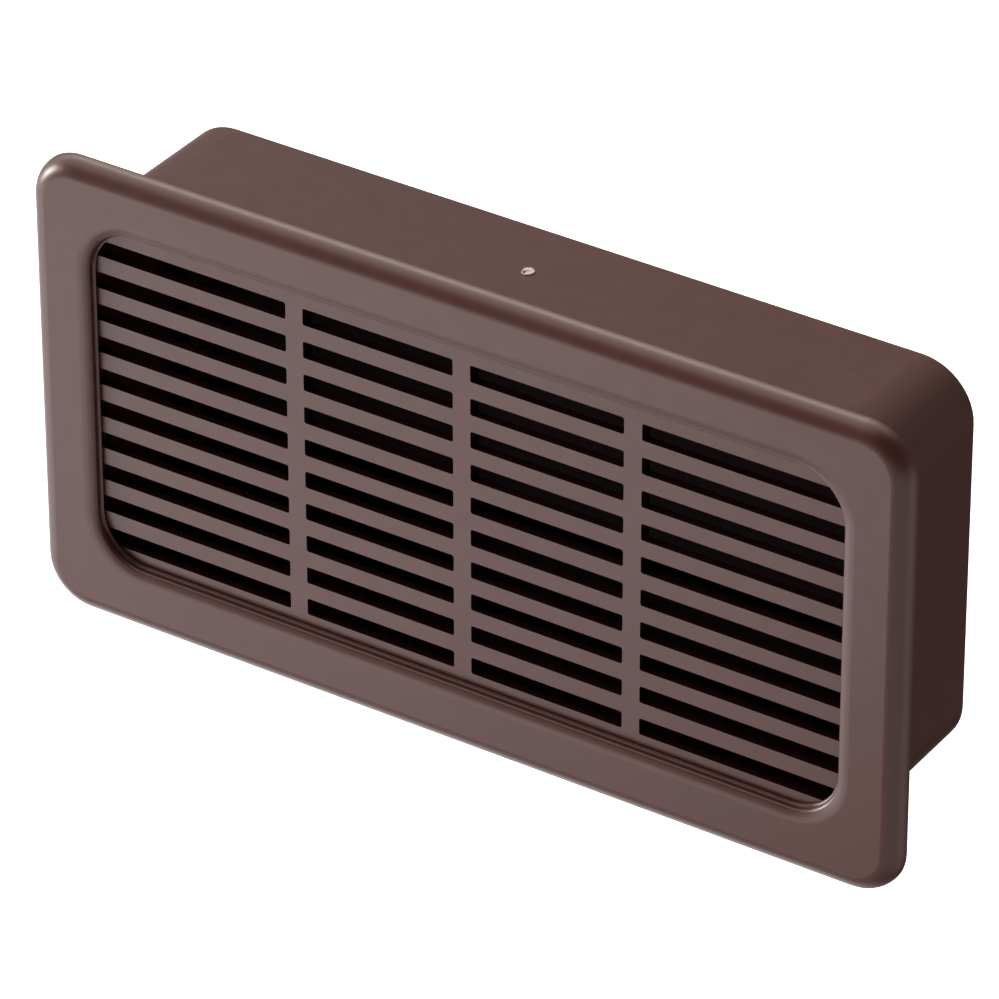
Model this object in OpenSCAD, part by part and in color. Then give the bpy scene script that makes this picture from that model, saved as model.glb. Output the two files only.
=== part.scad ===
// Ventilation grille for a wall or a door. A collar slips into a rectangular
// cut-out. A face frame with rolled edges snaps on to it and holds a slotted
// panel in its mouth. A gravity shutter of four hanging flaps sits in the
// rear of the collar and opens towards the face.
// Millimetres. The origin is the centre of the cut-out, in the surface of the
// wall. +Z is up, the face looks along -Y, and the collar runs along +Y.

/* [Collar] */
// Width over the collar at its front, which the cut-out has to clear
collar_w = 186.8; // [170:0.2:215]
// Height over the collar at its front
collar_h = 90.4; // [88:0.2:110]
// How far the collar reaches behind the surface of the wall
collar_reach = 38.1; // [34:0.1:60]
// Corner radius of the collar's outside
collar_corner_r = 12.3; // [9:0.1:15]
// Wall of the collar
collar_wall = 2; // [1.6:0.1:2.6]
// How much each outer side leans in from the front to the rear edge
collar_draft = 0.25; // [0:0.05:0.6]
// Width of the rim that lies on the back of the face plate
rim_w = 3.5; // [3:0.1:4]
// Thickness of that rim
rim_t = 1.2; // [1:0.1:1.3]
// Width of the ledge that the panel rests on
ledge_w = 2.2; // [1.6:0.1:3]
// Thickness of that ledge
ledge_t = 1.5; // [1:0.1:2.5]

/* [Face frame] */
// How far the face frame stands out past the collar at the left and right
side_overhang = 9.6; // [8.6:0.2:16]
// How far it stands out past the collar at the top and bottom
top_overhang = 8.6; // [8.2:0.2:16]
// Depth of the face frame, from the wall to its front
face_depth = 4.1; // [4:0.1:6]
// Corner radius of the face frame's outline
face_corner_r = 11; // [8:0.5:18]
// Radius of the rolled outer edge
edge_r = 3.9; // [3:0.1:3.9]
// Thickness of the face plate and of its rolled edge
plate_t = 1.7; // [1.5:0.1:1.9]
// How far the face plate covers the collar's inside at the left and right
side_cover = 2.6; // [2:0.1:6]
// How far it covers the collar's inside at the top
top_cover = 2.8; // [2.4:0.1:6]
// How far it covers the collar's inside at the bottom, where the border is wider
bottom_cover = 4.1; // [3:0.1:6]
// Corner radius of the window in the face plate
window_corner_r = 11; // [6:0.5:16]
// Radius of the window's tight inner edge
window_edge_r = 0.8; // [0.5:0.1:1.2]
// Radius of the soft shoulder that leads from the face into that edge
shoulder_r = 6; // [4:0.5:10]
// Angle through which the shoulder turns
shoulder_angle = 22; // [10:1:30]
// Thickness of the lip that reaches back from the window's edge to the panel
lip_t = 1.4; // [1:0.1:1.6]
// Radius of the fillet at the foot of the lip
foot_r = 0.5; // [0.3:0.1:0.8]
// Thickness of the lip's thin inner edge under that fillet
foot_t = 0.25; // [0.2:0.05:0.4]

/* [Snap hooks and ribs] */
// Length of one snap hook along the rim
hook_len = 10; // [6:1:16]
// Thickness of a hook's post
hook_post_t = 1.3; // [1:0.1:1.6]
// How far a hook's barb reaches over the rim
hook_bite = 0.9; // [0.6:0.1:1.2]
// Thickness of the barb
hook_barb_t = 0.8; // [0.6:0.1:1]
// Gap between the rim's edge and the hook's post
hook_gap = 0.3; // [0.1:0.1:0.4]
// Places of the hooks along the top and the bottom, from the middle
hook_step = 66; // [40:1:74]
// Thickness of the stiffening ribs behind the face plate
rib_t = 1.2; // [0.8:0.1:2]

/* [Grille panel] */
// Thickness of the slotted panel
panel_t = 2; // [1.5:0.1:3]
// How deep the panel lies behind the front of the face
panel_recess = 2.6; // [2.5:0.1:3.2]
// Shadow gap between the window's lip and the panel behind it
panel_gap = 0.25; // [0.05:0.05:0.5]
// Gap between the panel's edge and the inside of the collar
panel_clearance = 0.3; // [0.1:0.05:0.6]
// Height of one slot
slot_h = 3.85; // [3:0.05:4.5]
// Distance from one slot to the next one below it
slot_pitch = 7.63; // [6.5:0.01:10]
// Plain margin that is left over and under the slots, at least
slot_margin = 2.4; // [2:0.1:8]
// Distance from one upright bar to the next
column_pitch = 39.87; // [32:0.01:60]
// Width of an upright bar between two columns of slots
upright_w = 4.1; // [3:0.1:8]
// Length of the outermost slots, at least
outer_slot_min = 12; // [6:1:20]
// How far the outermost slots run on behind the face plate
slot_overrun = 0.7; // [0:0.1:1]
// Corner radius of a slot
slot_corner_r = 0.5; // [0.2:0.1:1.5]
// Depth of the stiffening ribs behind the upright bars
panel_rib_depth = 3; // [1:0.5:8]
// Thickness of those ribs
panel_rib_t = 1.6; // [1:0.1:2.5]

/* [Shutter frame] */
// Depth of the shutter frame
shutter_depth = 14; // [13:0.5:16]
// How far it sits inside the collar's rear edge
shutter_setback = 1; // [0:0.1:3]
// Gap between the shutter frame and the inside of the collar
shutter_clearance = 0.2; // [0.1:0.05:0.3]
// Wall of the shutter frame
shutter_wall = 2; // [1.6:0.1:2.4]
// Thickness of the cheeks that carry the hinge rods
cheek_t = 2.5; // [2:0.1:3.5]
// Height of a stop bar
bar_h = 5.6; // [4.8:0.1:6.4]
// Thickness of a stop bar
bar_t = 2; // [1.5:0.1:2.5]
// Radius of the snap beads on the frame's top and bottom
bead_r = 0.6; // [0.4:0.05:0.7]
// Length of a snap bead
bead_len = 24; // [10:1:40]
// Distance of the snap beads from the middle
bead_step = 50; // [30:1:60]
// Distance of the snap beads from the frame's rear
bead_setback = 6; // [3:0.5:9]
// Running room of a bead in its groove in the collar
groove_clearance = 0.2; // [0.1:0.05:0.3]

/* [Flaps] */
// Thickness of a flap
flap_t = 1.2; // [1:0.1:1.6]
// Gap between a flap's end and the cheek
flap_side_gap = 0.5; // [0.3:0.1:1.5]
// Gap between a flap's tip and the foot of its bay
flap_tip_gap = 0.6; // [0.4:0.1:1]
// Distance from the top of a bay down to its hinge
hinge_drop = 3; // [2.6:0.1:3.6]
// Radius of the round hem at the top of a flap
hem_r = 1.7; // [1.6:0.05:1.9]
// Radius of a hinge rod
rod_r = 1; // [0.8:0.05:1.1]
// Running room between the rod and the hem's bore
hinge_clearance = 0.05; // [0.02:0.01:0.1]
// Room between the rod and its holes in the cheeks
rod_hole_clearance = 0.02; // [0.01:0.01:0.05]
// How far a hinge rod stays short of the shutter frame's side
rod_end_gap = 2.2; // [2:0.1:3]
// Angle to which a flap swings open
flap_open = 70; // [50:1:80]
// Radius of the stop pegs on the cheeks
peg_r = 1; // [0.8:0.1:1.3]
// Length of a stop peg
peg_len = 2.5; // [1.5:0.1:4]
// Distance from the hinge to the stop peg, along an open flap
peg_reach = 8; // [6:0.5:8.5]
// Gap between an open flap and its stop peg
peg_gap = 0.3; // [0.2:0.1:0.5]

/* [Stop seals] */
// Thickness of the foam seal on a stop bar
seal_t = 1.5; // [1:0.1:2]
// Height of the foam seal
seal_h = 2; // [1.2:0.1:2.4]

/* [Hidden] */
$fn = 48;

plastic_brown = [0.33, 0.28, 0.27];
steel_grey = [0.72, 0.73, 0.74];
foam_black = [0.09, 0.09, 0.09];

// Depths, from the front of the face to the rear of the collar
face_y = -face_depth;
plate_back_y = face_y + plate_t;
panel_front_y = face_y + panel_recess;
panel_back_y = panel_front_y + panel_t;
collar_rear_y = collar_reach;
shutter_rear_y = collar_rear_y - shutter_setback;
shutter_front_y = shutter_rear_y - shutter_depth;
bar_front_y = shutter_rear_y - bar_t;
flap_back_y = bar_front_y - seal_t;
hinge_y = flap_back_y - flap_t / 2;

// Outlines across the front
face_w = collar_w + 2 * side_overhang;
face_h = collar_h + 2 * top_overhang;
mouth_w = collar_w - 2 * collar_wall;
mouth_h = collar_h - 2 * collar_wall;
mouth_r = collar_corner_r - collar_wall;
window_w = mouth_w - 2 * side_cover;
window_h = mouth_h - top_cover - bottom_cover;
window_z = (bottom_cover - top_cover) / 2;
shoulder_w = window_edge_r + (shoulder_r - window_edge_r) * sin(shoulder_angle);
panel_w = mouth_w - 2 * panel_clearance;
panel_h = mouth_h - 2 * panel_clearance;
shutter_w = mouth_w - 2 * shutter_clearance;
shutter_h = mouth_h - 2 * shutter_clearance;
shutter_r = mouth_r - shutter_clearance;
// A cheek's inner face stands where the frame's round corners begin
cheek_x = shutter_w / 2 - shutter_r;
flap_w = 2 * (cheek_x - flap_side_gap);

// Slots: whole rows between the margins, and uprights at equal steps
slot_zone_h = mouth_h - 2 * (max(top_cover, bottom_cover) + slot_margin);
slot_rows = floor((slot_zone_h - slot_h) / slot_pitch) + 1;
upright_steps = floor((window_w / 2 - upright_w / 2 - outer_slot_min) / column_pitch);
slot_end_x = window_w / 2 + slot_overrun;

// Bays of the shutter, counted from the top
flap_count = 4;
bay_h = (shutter_h - 2 * shutter_wall) / flap_count;
function bay_top(i) = shutter_h / 2 - shutter_wall - (i - 1) * bay_h;
function bay_foot(i) = bay_top(i) - bay_h;
function hinge_z(i) = bay_top(i) - hinge_drop;

// Overlap that joins two shapes of one solid
join = 0.5;

// A flat outline with round corners, about the middle
module rounded_rect(w, h, r) {
    square([w - 2 * r, h], center = true);
    square([w, h - 2 * r], center = true);
    for (x = [-1, 1], z = [-1, 1])
        translate([x * (w / 2 - r), z * (h / 2 - r)])
            circle(r = r);
}

// The children, drawn as seen from the front, between two depths
module slab(y_front, y_rear) {
    translate([0, y_rear, 0])
        rotate([90, 0, 0])
            linear_extrude(height = y_rear - y_front)
                children();
}

// A section swept round a rectangle with round corners. The children are the
// section: x is outwards from the rectangle, and y is the depth.
module swept_ring(w, h, r) {
    for (turn = [0:3]) {
        out = turn % 2 == 0 ? w : h;
        along = turn % 2 == 0 ? h : w;
        rotate([0, -90 * turn, 0]) {
            translate([out / 2, 0, 0])
                linear_extrude(height = along - 2 * r, center = true)
                    children();
            translate([out / 2 - r, 0, r - along / 2])
                rotate([-90, 0, 0])
                    rotate_extrude(angle = 90)
                        translate([r, 0])
                            children();
        }
    }
}

// A round bar along X, about the middle
module cross_bar(length, r) {
    rotate([0, 90, 0])
        cylinder(h = length, r = r, center = true);
}

// A quarter round that runs out into a straight skirt down to the wall
module skirt_section(r) {
    centre_y = face_y + edge_r;
    intersection() {
        translate([0, centre_y])
            circle(r = r);
        translate([0, centre_y - r])
            square([r, r]);
    }
    translate([0, centre_y])
        square([r, -centre_y]);
}

// The rolled outer edge of the face frame, hollow at the back
module rolled_edge_section() {
    difference() {
        skirt_section(edge_r);
        skirt_section(edge_r - plate_t);
    }
}

// The edge round the window: a soft shoulder runs into a tight round edge. A
// lip reaches back from it and ends in a fillet with a thin edge over the panel.
module window_edge_section() {
    edge_x = window_edge_r * (1 - sin(shoulder_angle));
    edge_y = face_y + shoulder_r - (shoulder_r - window_edge_r) * cos(shoulder_angle);
    lip_end_y = panel_front_y - panel_gap;
    fillet_y = lip_end_y - foot_t - foot_r;
    intersection() {
        translate([shoulder_w, face_y + shoulder_r])
            circle(r = shoulder_r);
        translate([edge_x, face_y])
            square([shoulder_w - edge_x + join, plate_t]);
    }
    translate([shoulder_w, face_y])
        square([join, plate_t]);
    intersection() {
        translate([window_edge_r, edge_y])
            circle(r = window_edge_r);
        translate([0, edge_y - window_edge_r])
            square([edge_x, window_edge_r]);
    }
    translate([0, edge_y])
        square([lip_t, lip_end_y - edge_y]);
    difference() {
        translate([-foot_r, fillet_y])
            square([foot_r + lip_t / 2, foot_r + foot_t]);
        translate([-foot_r, fillet_y])
            circle(r = foot_r);
    }
}

// A snap hook that grips the rim of the collar. It is drawn for the top edge.
module snap_hook(rim_edge) {
    post = rim_edge + hook_gap;
    barb_y = plate_back_y + rim_t;
    translate([-hook_len / 2, plate_back_y, post])
        cube([hook_len, rim_t + hook_barb_t, hook_post_t]);
    translate([-hook_len / 2, barb_y, rim_edge - hook_bite])
        cube([hook_len, hook_barb_t, hook_bite + hook_gap + join]);
}

// A rib across the hollow behind the face plate, drawn for the top edge
module hollow_rib(face_edge, rim_edge) {
    foot = rim_edge + hook_gap;
    top = face_edge - plate_t;
    translate([-rib_t / 2, plate_back_y, foot])
        cube([rib_t, -plate_back_y - plate_t / 3, top - foot + join]);
}

module face_frame() {
    color(plastic_brown) {
        slab(face_y, plate_back_y)
            difference() {
                rounded_rect(face_w - 2 * edge_r, face_h - 2 * edge_r,
                             face_corner_r - edge_r);
                translate([0, window_z])
                    rounded_rect(window_w + 2 * shoulder_w, window_h + 2 * shoulder_w,
                                 window_corner_r + shoulder_w);
            }
        swept_ring(face_w - 2 * edge_r, face_h - 2 * edge_r, face_corner_r - edge_r)
            rolled_edge_section();
        translate([0, 0, window_z])
            swept_ring(window_w, window_h, window_corner_r)
                window_edge_section();
        for (turn = [0, 180])
            rotate([0, turn, 0]) {
                for (x = [-hook_step, 0, hook_step])
                    translate([x, 0, 0])
                        snap_hook(collar_h / 2 + rim_w);
                for (x = [-hook_step / 2, hook_step / 2])
                    translate([x, 0, 0])
                        hollow_rib(face_h / 2, collar_h / 2 + rim_w);
            }
        for (turn = [90, 270])
            rotate([0, turn, 0]) {
                snap_hook(collar_w / 2 + rim_w);
                for (x = [-1, 1])
                    translate([x * collar_h / 4, 0, 0])
                        hollow_rib(face_w / 2, collar_w / 2 + rim_w);
            }
    }
}

// The collar's wall with its front rim and the ledge for the panel
module collar_section() {
    polygon([
        [rim_w, plate_back_y],
        [rim_w, plate_back_y + rim_t],
        [0, plate_back_y + rim_t],
        [-collar_draft, collar_rear_y],
        [-collar_wall, collar_rear_y],
        [-collar_wall, panel_back_y + ledge_t],
        [-collar_wall - ledge_w, panel_back_y + ledge_t],
        [-collar_wall - ledge_w, panel_back_y],
        [-collar_wall, panel_back_y],
        [-collar_wall, plate_back_y]
    ]);
}

// The snap beads of the shutter frame, or with room added their grooves
module snap_beads(room) {
    for (x = [-bead_step, bead_step], z = [-1, 1])
        translate([x, shutter_rear_y - bead_setback, z * shutter_h / 2])
            cross_bar(bead_len + 2 * room, bead_r + room);
}

module mounting_collar() {
    color(plastic_brown)
        difference() {
            swept_ring(collar_w, collar_h, collar_corner_r)
                collar_section();
            snap_beads(groove_clearance);
        }
}

// One row of slots, split by the upright bars
module slot_row() {
    steps = upright_steps;
    for (i = [-steps - 1 : steps]) {
        left = i == -steps - 1 ? -slot_end_x : i * column_pitch + upright_w / 2;
        right = i == steps ? slot_end_x : (i + 1) * column_pitch - upright_w / 2;
        translate([(left + right) / 2, 0])
            rounded_rect(right - left, slot_h, slot_corner_r);
    }
}

module grille_panel() {
    ledge_inside = mouth_h - 2 * ledge_w;
    color(plastic_brown) {
        slab(panel_front_y, panel_back_y)
            difference() {
                rounded_rect(panel_w, panel_h, mouth_r - panel_clearance);
                for (row = [0 : slot_rows - 1])
                    translate([0, (row - (slot_rows - 1) / 2) * slot_pitch])
                        slot_row();
            }
        for (i = [-upright_steps : upright_steps])
            translate([i * column_pitch - panel_rib_t / 2, panel_back_y,
                       panel_clearance - ledge_inside / 2])
                cube([panel_rib_t, panel_rib_depth, ledge_inside - 2 * panel_clearance]);
    }
}

// The solid parts of the shutter frame inside its own outline
module shutter_body() {
    swept_ring(shutter_w, shutter_h, shutter_r)
        translate([-shutter_wall, shutter_front_y])
            square([shutter_wall, shutter_depth]);
    intersection() {
        slab(shutter_front_y, shutter_rear_y)
            rounded_rect(shutter_w, shutter_h, shutter_r);
        union() {
            for (side = [-1, 1]) {
                translate([side * (cheek_x + cheek_t / 2), shutter_rear_y - shutter_depth / 2, 0])
                    cube([cheek_t, shutter_depth, shutter_h], center = true);
                translate([side * (cheek_x + shutter_r / 2), shutter_rear_y - bar_t / 2, 0])
                    cube([shutter_r, bar_t, shutter_h], center = true);
            }
            for (i = [0 : flap_count]) {
                translate([0, shutter_rear_y - bar_t / 2, bay_top(i + 1)])
                    cube([2 * cheek_x + join, bar_t, bar_h], center = true);
            }
        }
    }
}

// Pegs on the cheeks that stop an open flap
module stop_pegs() {
    off = flap_t / 2 + peg_gap + peg_r;
    for (i = [1 : flap_count], side = [-1, 1])
        translate([side * (cheek_x - (peg_len - join) / 2),
                   hinge_y - peg_reach * sin(flap_open) - off * cos(flap_open),
                   hinge_z(i) - peg_reach * cos(flap_open) + off * sin(flap_open)])
            cross_bar(peg_len + join, peg_r);
}

module shutter_frame() {
    insert_hole_r = rod_r + 0.3;
    color(plastic_brown)
        difference() {
            union() {
                shutter_body();
                stop_pegs();
                snap_beads(0);
            }
            for (i = [1 : flap_count])
                translate([0, hinge_y, hinge_z(i)]) {
                    cross_bar(2 * (cheek_x + cheek_t) + join, rod_r + rod_hole_clearance);
                    for (side = [-1, 1])
                        translate([side * shutter_w / 2, 0, 0])
                            cross_bar(2 * (shutter_r - cheek_t) - join, insert_hole_r);
                }
        }
}

// A flap hangs from its rod. Its top is a round hem with a bore, and its tip
// is rounded.
module flap(i) {
    reach = hinge_z(i) - bay_foot(i) - flap_tip_gap - flap_t / 2;
    color(plastic_brown)
        translate([0, hinge_y, hinge_z(i)])
            difference() {
                union() {
                    cross_bar(flap_w, hem_r);
                    translate([-flap_w / 2, -flap_t / 2, -reach])
                        cube([flap_w, flap_t, reach]);
                    translate([0, 0, -reach])
                        cross_bar(flap_w, flap_t / 2);
                }
                cross_bar(flap_w + 2, rod_r + hinge_clearance);
            }
}

// A hinge rod passes through both cheeks
module hinge_rod(i) {
    color(steel_grey)
        translate([0, hinge_y, hinge_z(i)])
            cross_bar(shutter_w - 2 * rod_end_gap, rod_r);
}

// A foam strip on the stop bar, where the flap's tip rests
module stop_seal(i) {
    color(foam_black)
        translate([-flap_w / 2, flap_back_y, bay_foot(i)])
            cube([flap_w, seal_t, seal_h]);
}

face_frame();
mounting_collar();
grille_panel();
shutter_frame();
flap(1);  // flap_1
flap(2);  // flap_2
flap(3);  // flap_3
flap(4);  // flap_4
hinge_rod(1);  // hinge_rod_1
hinge_rod(2);  // hinge_rod_2
hinge_rod(3);  // hinge_rod_3
hinge_rod(4);  // hinge_rod_4
stop_seal(1);  // stop_seal_1
stop_seal(2);  // stop_seal_2
stop_seal(3);  // stop_seal_3
stop_seal(4);  // stop_seal_4
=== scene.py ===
"""Looks of the ventilation grille: materials, gate mark, studio and camera."""

import math
import random

import bmesh
import bpy
from mathutils import Matrix, Vector


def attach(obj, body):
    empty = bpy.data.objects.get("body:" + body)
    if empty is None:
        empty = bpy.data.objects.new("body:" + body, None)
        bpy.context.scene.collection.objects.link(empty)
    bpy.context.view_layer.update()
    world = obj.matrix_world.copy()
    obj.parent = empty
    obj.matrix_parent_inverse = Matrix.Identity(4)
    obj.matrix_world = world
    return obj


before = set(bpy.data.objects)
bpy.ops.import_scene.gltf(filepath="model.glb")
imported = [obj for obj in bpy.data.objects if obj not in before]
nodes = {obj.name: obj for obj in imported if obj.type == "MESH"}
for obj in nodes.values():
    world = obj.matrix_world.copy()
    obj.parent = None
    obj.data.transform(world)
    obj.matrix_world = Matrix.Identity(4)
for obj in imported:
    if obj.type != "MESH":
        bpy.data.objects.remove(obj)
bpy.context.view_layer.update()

MM = 0.001
WHITE = (1, 1, 1, 1)

# Base colours of the materials, in linear light
BROWN = (0.0768, 0.0268, 0.0228)
# The shutter frame and flaps behind the slots: near-black, far darker than the body's brown, as
# painted shade of the dark inside
INNER_SHADE_BROWN = (0.021, 0.009, 0.008)
FLAP_SHADE_BROWN = (0.013, 0.0055, 0.005)
STEEL = (0.52, 0.50, 0.47)
FOAM = (0.020, 0.019, 0.019)
BROKEN_PLASTIC = (0.64, 0.53, 0.50)
# Share of the colour left on the sides of the slots, as painted shade for the dark in them
SLOT_WALL_SHADE = 0.22

# Moulded plastic: scales of its noise (per metre), depths of its waves and of its grain,
# and how far its roughness strays to both sides
FLOW, WAVES, PATCHES, GRAIN = 22.0, 75.0, 260.0, 1100.0
WAVE_DEPTH, GRAIN_DEPTH = 0.06 * MM, 0.004 * MM
ROUGHNESS_SPREAD = 0.02
# Its paler edges, wear and also a painted highlight: how tight they are, from which bend on they
# show and where they show in full, how much paler they are, and the largest share of that paler
# colour
PALE_EDGE_R = 0.4 * MM
PALE_EDGE_BEND = (0.02, 0.3)
PALE_EDGE_FACTOR = 2.2
PALE_EDGE_SHARE = 0.35

# The other materials: scales of their noise (per metre), depth of what stands out, and their
# roughness at the low and the high end of the noise
STEEL_LINES, STEEL_PATCHES = 6000.0, 140.0
STEEL_LINE_DEPTH = 0.01 * MM
STEEL_ROUGHNESS = (0.24, 0.38)
FOAM_CELLS, FOAM_DUST = 2200.0, 320.0
FOAM_CELL_DEPTH = 0.08 * MM
FOAM_ROUGHNESS = (0.95, 0.8)
TORN = 1500.0
TORN_DEPTH = 0.15 * MM
TORN_ROUGHNESS = (0.55, 0.4)

# Gate mark on top of the collar: place, radius, height, depth of its foot, rings and sides
GATE_X, GATE_Y = 0.1 * MM, 22.3 * MM
GATE_R = 1.33 * MM
GATE_HEIGHT = 0.34 * MM
GATE_DEPTH = 0.4 * MM
GATE_RINGS, GATE_SIDES = 9, 48
# Its outline: how many bulges it has, how far they reach, how far they are turned (radians),
# and how much wider its foot is
GATE_BULGES, GATE_BULGE, GATE_BULGE_TURN = 3, 0.035, 1
GATE_FOOT = 1.03
# Its top, in shares of the height: the middle, how much it leans and how much it is torn,
# and then where it leans to (radians)
GATE_MIDDLE, GATE_LEAN, GATE_TEAR = 0.7, 0.3, 0.09
GATE_LEANS_TO = 0.9
# The pit in it: place from its middle, radius and depth
PIT_X, PIT_Y = -0.48 * MM, -0.42 * MM
PIT_R = 0.36 * MM
PIT_DEPTH = 0.42 * MM

# Camera: where it stands (m), its direction and roll (degrees), its lens and film (mm), and
# how near and how far it sees (m)
CAMERA_PLACE = (0.6856, -1.0344, 0.7893)
CAMERA_AZIMUTH, CAMERA_ELEVATION, CAMERA_ROLL = 33.2305, 32.3388, -0.102
CAMERA_LENS, CAMERA_FILM = 266.6, 36
CAMERA_NEAR, CAMERA_FAR = 0.05, 20

# Soft lights of the studio: azimuth and elevation (degrees), focus, and the radiance that they
# show. Those below the horizon are what the pale table sends back to the part.
LIGHTS = {
    "side": (200, 0, 60, (30.0, 29.4, 28.2)),
    "side_wide": (180, 22, 9, (1.6, 1.6, 1.5)),
    "top_front": (207, 60, 14, (2.0, 1.8, 1.7)),
    "top_rear": (142, 53, 45, (6.0, 5.2, 4.8)),
    "top_left": (152, 35, 22, (1.8, 1.75, 1.65)),
    "top": (95, 72, 14, (2.50, 2.2, 2.05)),
    "rear_right": (55, 25, 8, (0.16, 0.24, 0.24)),
    "table_left": (200, -30, 10, (1.1, 1.1, 1.15)),
    "table_front": (270, -30, 16, (0.75, 0.66, 0.64)),
    "table_front_right": (308, -30, 10, (0.95, 0.86, 0.85)),
    "table_right": (5, -26, 8, (1.25, 1.08, 1.05)),
    "table_rear_left": (155, -32, 10, (0.90, 0.95, 0.95)),
    "table_below": (175, -62, 12, (1.4, 1.4, 1.35)),
}

# Near card that lights the face from in front and below: its direction (degrees), how far away
# it is, how far it is shifted sideways and up, and its size (m), then the radiance that it shows
CARD_TOWARDS = (237, -32)
CARD_DISTANCE = 0.7
CARD_OFFSET = (-0.12, 0.06)
CARD_SIZE = (0.66, 0.28)
CARD_RADIANCE = (1.72, 1.54, 1.52)
# Energy that an area light needs for each unit of its radiance and of its area
AREA_LIGHT_ENERGY = 4

# Floor: its middle and its size (m), its grey, its roughness, how many soft spots lie along it,
# and the white that it shows besides
FLOOR_PLACE = (0, 0.8, -0.40)
FLOOR_SIZE = (6, 4.4)
FLOOR_GREY = (0.8, 0.8, 0.8)
FLOOR_ROUGHNESS = 0.9
FLOOR_SPOTS = 12.0
FLOOR_WHITE = 0.9


def direction(azimuth, elevation):
    """Unit vector away from the object, by angles in degrees."""
    a, e = math.radians(azimuth), math.radians(elevation)
    return Vector((math.cos(e) * math.cos(a), math.cos(e) * math.sin(a), math.sin(e)))


def shade(colour, share):
    """The colour made lighter or darker by a share, with an alpha of 1."""
    return (*(c * share for c in colour), 1.0)


class Graph:
    """Adds shader nodes to one tree and links them."""

    def __init__(self, owner):
        owner.use_nodes = True
        self.tree = owner.node_tree

    def node(self, kind, inputs=None, **settings):
        """New node with its settings, and with its inputs fed by their name or number."""
        made = self.tree.nodes.new(kind)
        for key, value in settings.items():
            setattr(made, key, value)
        for key, value in (inputs or {}).items():
            self.feed(value, made.inputs[key])
        return made

    def feed(self, value, socket):
        """Links another node's output to the socket, or sets the socket's own value."""
        if hasattr(value, "is_output"):
            self.tree.links.new(value, socket)
        else:
            socket.default_value = value

    def math(self, operation, a, b=0.0):
        return self.node("ShaderNodeMath", {0: a, 1: b}, operation=operation).outputs[0]

    def vector(self, operation, a, b):
        return self.node("ShaderNodeVectorMath", {0: a, 1: b}, operation=operation)

    def ramp(self, value, low=0.3, high=0.7, to_low=0.0, to_high=1.0):
        """Runs from to_low to to_high while the value runs from low to high."""
        return self.node("ShaderNodeMapRange",
                         {0: value, 1: low, 2: high, 3: to_low, 4: to_high},
                         interpolation_type="SMOOTHSTEP").outputs[0]

    def noise(self, place, scale, detail=3.0, roughness=0.5):
        return self.node("ShaderNodeTexNoise",
                         {"Vector": place, "Scale": scale, "Detail": detail,
                          "Roughness": roughness}).outputs["Fac"]

    def mix(self, factor, a, b):
        """From colour a to colour b. Inputs 6 and 7 and output 2 are those for colours."""
        return self.node("ShaderNodeMix", {"Factor": factor, 6: a, 7: b},
                         data_type="RGBA").outputs[2]

    def shades(self, factor, colour, share_a, share_b):
        """From one shade of a colour to another."""
        return self.mix(factor, shade(colour, share_a), shade(colour, share_b))

    def bump(self, height, distance, strength, under=None):
        inputs = {"Height": height, "Strength": strength, "Distance": distance}
        if under is not None:
            inputs["Normal"] = under
        return self.node("ShaderNodeBump", inputs).outputs["Normal"]


def new_material(name):
    """Material with its graph, its shader, and the place of each point on the object."""
    material = bpy.data.materials.new(name)
    g = Graph(material)
    place = g.node("ShaderNodeTexCoord").outputs["Object"]
    return material, g, g.tree.nodes["Principled BSDF"], place


def edge_wear_and_highlight(g):
    """1 on outer edges that are tighter than the pale edge's radius, 0 on flat stretches. It
    marks wear and also a painted highlight.
    """
    soft = g.node("ShaderNodeBevel", {"Radius": PALE_EDGE_R}, samples=4).outputs["Normal"]
    true = g.node("ShaderNodeNewGeometry").outputs["Normal"]
    bend = g.math("SUBTRACT", 1.0, g.vector("DOT_PRODUCT", soft, true).outputs["Value"])
    return g.ramp(bend, *PALE_EDGE_BEND)


def moulded_plastic(name, colour, roughness, ior=1.5, wall_shade=1.0):
    """Satin moulded plastic: flow in its colour, a fine grain, and paler edges, which are wear
    and also a painted highlight on tight edges.
    Faces that run from front to back, such as the sides of the slots, keep only their share of
    the colour: painted shade."""
    material, g, bsdf, place = new_material(name)
    flow = g.noise(place, FLOW, 4.0, 0.55)
    grain = g.noise(place, GRAIN, 2.0)
    waves = g.noise(place, WAVES, 2.0)
    patches = g.noise(place, PATCHES)
    body = g.shades(g.ramp(flow), colour, 0.96, 1.04)
    # Paler edges: wear, and also a painted highlight on tight edges.
    wear_and_highlight = g.math("MULTIPLY", edge_wear_and_highlight(g), g.ramp(grain, 0.35, 0.65, 0.0, PALE_EDGE_SHARE))
    tint = g.mix(wear_and_highlight, body, shade(colour, PALE_EDGE_FACTOR))
    # Painted shade: faces that run from front to back, such as the sides of the slots, are
    # darkened to their share of the colour.
    if wall_shade < 1:
        normal = g.node("ShaderNodeTexCoord").outputs["Normal"]
        front = g.math("ABSOLUTE", g.node("ShaderNodeSeparateXYZ", {0: normal}).outputs[1])
        tint = g.mix(g.ramp(front, 0.3, 0.8), shade(colour, wall_shade), tint)
    g.feed(tint, bsdf.inputs["Base Color"])
    g.feed(g.ramp(patches, to_low=roughness - ROUGHNESS_SPREAD,
                  to_high=roughness + ROUGHNESS_SPREAD), bsdf.inputs["Roughness"])
    bsdf.inputs["IOR"].default_value = ior
    slow = g.bump(waves, WAVE_DEPTH, 0.25)
    g.feed(g.bump(grain, GRAIN_DEPTH, 0.5, slow), bsdf.inputs["Normal"])
    return material


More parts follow.
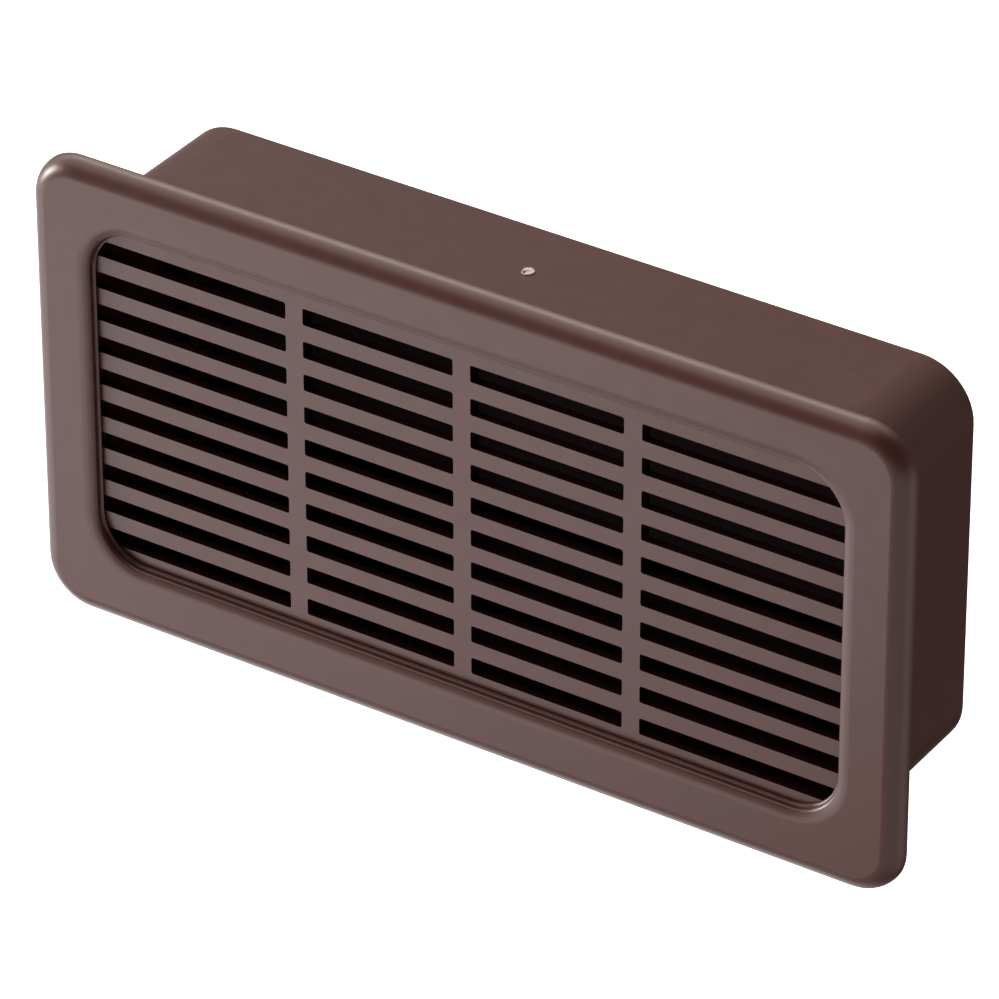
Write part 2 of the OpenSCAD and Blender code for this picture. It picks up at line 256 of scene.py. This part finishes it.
def drawn_steel(name, colour):
    """Bright drawn wire: fine lines along it, and a few duller patches."""
    material, g, bsdf, place = new_material(name)
    stretched = g.node("ShaderNodeMapping", {"Vector": place, "Scale": (0.02, 1, 1)}).outputs[0]
    lines = g.noise(stretched, STEEL_LINES, 2.0)
    patches = g.noise(place, STEEL_PATCHES)
    g.feed(g.shades(g.ramp(patches, 0.35, 0.7), colour, 1.0, 0.72), bsdf.inputs["Base Color"])
    g.feed(g.ramp(patches, 0.3, 0.7, *STEEL_ROUGHNESS), bsdf.inputs["Roughness"])
    bsdf.inputs["Metallic"].default_value = 1.0
    g.feed(g.bump(lines, STEEL_LINE_DEPTH, 0.4), bsdf.inputs["Normal"])
    return material


def cell_foam(name, colour):
    """Closed-cell foam: small cells, and dust on them."""
    material, g, bsdf, place = new_material(name)
    cells = g.node("ShaderNodeTexVoronoi",
                   {"Vector": place, "Scale": FOAM_CELLS}).outputs["Distance"]
    dust = g.noise(place, FOAM_DUST)
    g.feed(g.shades(g.ramp(dust, 0.35, 0.75), colour, 0.8, 1.9), bsdf.inputs["Base Color"])
    g.feed(g.ramp(cells, 0.1, 0.7, *FOAM_ROUGHNESS), bsdf.inputs["Roughness"])
    g.feed(g.bump(cells, FOAM_CELL_DEPTH, 0.7), bsdf.inputs["Normal"])
    return material


def broken_plastic(name, colour):
    """Pale, torn plastic where the gate was twisted off."""
    material, g, bsdf, place = new_material(name)
    torn = g.noise(place, TORN, 3.0, 0.6)
    g.feed(g.shades(g.ramp(torn, 0.33, 0.52), colour, 0.45, 1.0), bsdf.inputs["Base Color"])
    g.feed(g.ramp(torn, 0.3, 0.7, *TORN_ROUGHNESS), bsdf.inputs["Roughness"])
    g.feed(g.bump(torn, TORN_DEPTH, 0.6), bsdf.inputs["Normal"])
    return material


def dress_nodes():
    """Gives each CAD node its material, by the start of the node's name."""
    plastic = moulded_plastic("brown_plastic", BROWN, roughness=0.31)
    by_start = {
        "hinge_rod": drawn_steel("drawn_steel", STEEL),
        "stop_seal": cell_foam("cell_foam", FOAM),
        # Near-black flaps and shutter frame: painted shade behind the slots.
        "flap": moulded_plastic("flap_plastic", FLAP_SHADE_BROWN, roughness=0.65, ior=1.2),
        "shutter": moulded_plastic("inner_plastic", INNER_SHADE_BROWN, roughness=0.6, ior=1.25),
        # The grille panel gets painted shade on the sides of its slots.
        "grille_panel": moulded_plastic("slotted_plastic", BROWN, roughness=0.31,
                                        wall_shade=SLOT_WALL_SHADE),
    }
    for name, obj in nodes.items():
        found = [material for start, material in by_start.items() if name.startswith(start)]
        obj.data.materials.clear()
        obj.data.materials.append(found[0] if found else plastic)


def torn_stub():
    """Closed mesh of a low stub with a torn top, a pit in it, and a foot below its place."""
    draws = random.Random(5)
    bm = bmesh.new()
    middle = bm.verts.new((0, 0, GATE_MIDDLE * GATE_HEIGHT))
    loops = []
    for ring in range(1, GATE_RINGS + 1):
        share = ring / GATE_RINGS
        loop = []
        for side in range(GATE_SIDES):
            turn = 2 * math.pi * side / GATE_SIDES
            bulge = GATE_BULGE * math.sin(GATE_BULGES * turn + GATE_BULGE_TURN) * share
            r = GATE_R * share * (1 + bulge)
            x, y = r * math.cos(turn), r * math.sin(turn)
            lean = GATE_LEAN * share * math.cos(turn - GATE_LEANS_TO)
            rise = GATE_MIDDLE + lean + draws.uniform(-GATE_TEAR, GATE_TEAR)
            pit = math.exp(-((x - PIT_X) ** 2 + (y - PIT_Y) ** 2) / PIT_R ** 2)
            loop.append(bm.verts.new((x, y, GATE_HEIGHT * rise - PIT_DEPTH * pit)))
        loops.append(loop)
    foot = [bm.verts.new((v.co.x * GATE_FOOT, v.co.y * GATE_FOOT, -GATE_DEPTH))
            for v in loops[-1]]
    loops.append(foot)
    for side in range(GATE_SIDES):
        after = (side + 1) % GATE_SIDES
        bm.faces.new((middle, loops[0][side], loops[0][after]))
        for inner_loop, outer_loop in zip(loops, loops[1:]):
            bm.faces.new((inner_loop[side], outer_loop[side],
                          outer_loop[after], inner_loop[after]))
    bm.faces.new(list(reversed(foot)))
    bmesh.ops.recalc_face_normals(bm, faces=bm.faces)
    mesh = bpy.data.meshes.new("gate_mark")
    bm.to_mesh(mesh)
    bm.free()
    return mesh


def add_gate_mark():
    """Low torn stub on the collar, where the runner of the mould was broken off."""
    bpy.context.view_layer.update()
    collar = nodes["mounting_collar"]
    hit, ground, _, _ = collar.ray_cast(Vector((GATE_X, GATE_Y, 1)), Vector((0, 0, -1)))
    if not hit:
        raise RuntimeError("the gate mark found no collar under it")
    mark = bpy.data.objects.new("gate_mark", torn_stub())
    mark.location = ground
    bpy.context.scene.collection.objects.link(mark)
    mark.data.materials.append(broken_plastic("broken_plastic", BROKEN_PLASTIC))
    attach(mark, "grille_body")


def add_camera():
    """The photo's view: where the camera stands, its direction and its small roll."""
    data = bpy.data.cameras.new("camera")
    camera = bpy.data.objects.new("camera", data)
    bpy.context.scene.collection.objects.link(camera)
    camera.location = CAMERA_PLACE
    azimuth, elevation, roll = (math.radians(d) for d in
                                (CAMERA_AZIMUTH, CAMERA_ELEVATION, CAMERA_ROLL))
    forward = Vector((-math.sin(azimuth) * math.cos(elevation),
                      math.cos(azimuth) * math.cos(elevation),
                      -math.sin(elevation)))
    level = Vector((math.cos(azimuth), math.sin(azimuth), 0))
    upright = level.cross(forward)
    right = math.cos(roll) * level + math.sin(roll) * upright
    up = math.cos(roll) * upright - math.sin(roll) * level
    camera.rotation_mode = "QUATERNION"
    camera.rotation_quaternion = Matrix((right, up, -forward)).transposed().to_quaternion()
    data.sensor_width = CAMERA_FILM
    data.lens = CAMERA_LENS
    data.clip_start, data.clip_end = CAMERA_NEAR, CAMERA_FAR
    bpy.context.scene.camera = camera


def add_floor():
    """Pale table under the part. The camera sees it white, with the part's shadow.
    The light that it sends back to the part is among the studio's lights."""
    bpy.ops.mesh.primitive_plane_add(size=1)
    floor = bpy.context.object
    floor.name = "floor"
    floor.scale = (*FLOOR_SIZE, 1)
    floor.location = FLOOR_PLACE
    floor.visible_diffuse = floor.visible_glossy = floor.visible_shadow = False
    material, g, bsdf, place = new_material("floor")
    g.feed(g.shades(g.noise(place, FLOOR_SPOTS), FLOOR_GREY, 0.98, 1.02),
           bsdf.inputs["Base Color"])
    bsdf.inputs["Roughness"].default_value = FLOOR_ROUGHNESS
    white = g.node("ShaderNodeEmission", {"Strength": FLOOR_WHITE})
    shown = g.node("ShaderNodeAddShader", {0: bsdf.outputs[0], 1: white.outputs[0]})
    g.feed(shown.outputs[0], g.tree.nodes["Material Output"].inputs["Surface"])
    floor.data.materials.append(material)


def add_card():
    """Area light that the face mirrors. It is near, so it falls off across the face."""
    data = bpy.data.lights.new("card", "AREA")
    data.shape = "RECTANGLE"
    data.size, data.size_y = CARD_SIZE
    strongest = max(CARD_RADIANCE)
    data.color = [part / strongest for part in CARD_RADIANCE]
    data.energy = AREA_LIGHT_ENERGY * strongest * CARD_SIZE[0] * CARD_SIZE[1]
    card = bpy.data.objects.new("card", data)
    bpy.context.scene.collection.objects.link(card)
    away = direction(*CARD_TOWARDS)
    side = Vector((0, 0, 1)).cross(away).normalized()
    up = away.cross(side)
    card.location = away * CARD_DISTANCE + side * CARD_OFFSET[0] + up * CARD_OFFSET[1]
    card.rotation_euler = Matrix((side, up, away)).transposed().to_euler()
    card.visible_camera = False


def add_room():
    """World that gives the studio's soft lights. The camera sees it white."""
    world = bpy.data.worlds.new("studio")
    bpy.context.scene.world = world
    g = Graph(world)
    way = g.node("ShaderNodeTexCoord").outputs["Generated"]
    light = (0, 0, 0)
    for azimuth, elevation, focus, radiance in LIGHTS.values():
        facing = g.vector("DOT_PRODUCT", way, tuple(direction(azimuth, elevation)))
        off = g.math("SUBTRACT", facing.outputs["Value"], 1.0)
        share = g.math("EXPONENT", g.math("MULTIPLY", off, focus))
        glow = g.node("ShaderNodeVectorMath", {0: radiance, "Scale": share}, operation="SCALE")
        light = g.vector("ADD", glow.outputs[0], light).outputs[0]
    camera = g.node("ShaderNodeLightPath").outputs["Is Camera Ray"]
    g.feed(g.mix(camera, light, WHITE), g.tree.nodes["Background"].inputs["Color"])


dress_nodes()
add_gate_mark()
add_camera()
add_floor()
add_card()
add_room()
bpy.context.scene.view_settings.view_transform = "Standard"
